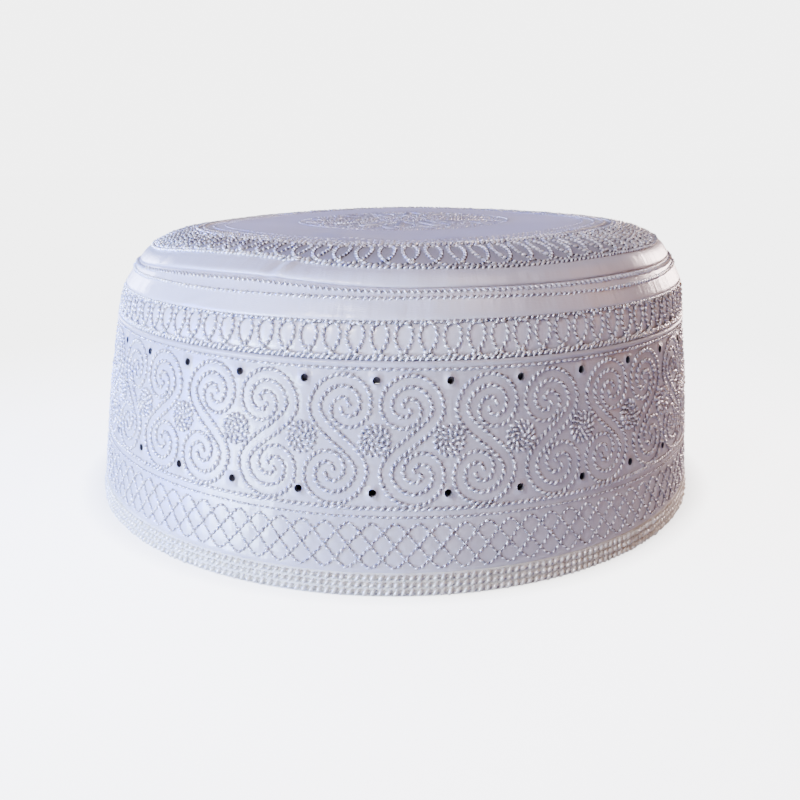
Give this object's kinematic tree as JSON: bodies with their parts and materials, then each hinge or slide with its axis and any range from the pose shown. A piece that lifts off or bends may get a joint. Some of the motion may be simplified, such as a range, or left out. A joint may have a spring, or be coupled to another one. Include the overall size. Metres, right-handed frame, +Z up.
{
  "type": "kufi",
  "caption": "Low round brimless cap with a stiff upright side, a soft flat crown, stitched scroll panels with pierced eyelets, and a bound rim.",
  "frame": {"origin": "on the floor under the middle of the rim", "axes": "+Z up through the crown, front towards -Y, and the cap is slightly deeper along Y than it is wide along X"},
  "size_m": [0.182, 0.1924, 0.0777],
  "materials": {
    "white_satin": "white satin cloth with a soft sheen, embroidered in glossy white thread",
    "cream_thread": "cream binding covered in thick slanted thread"
  },
  "bodies": {
    "root": {"hem_binding": "cream_thread", "side_band": "white_satin", "upper_band": "white_satin", "shoulder_band": "white_satin", "crown": "white_satin"}
  },
  "joints": []
}
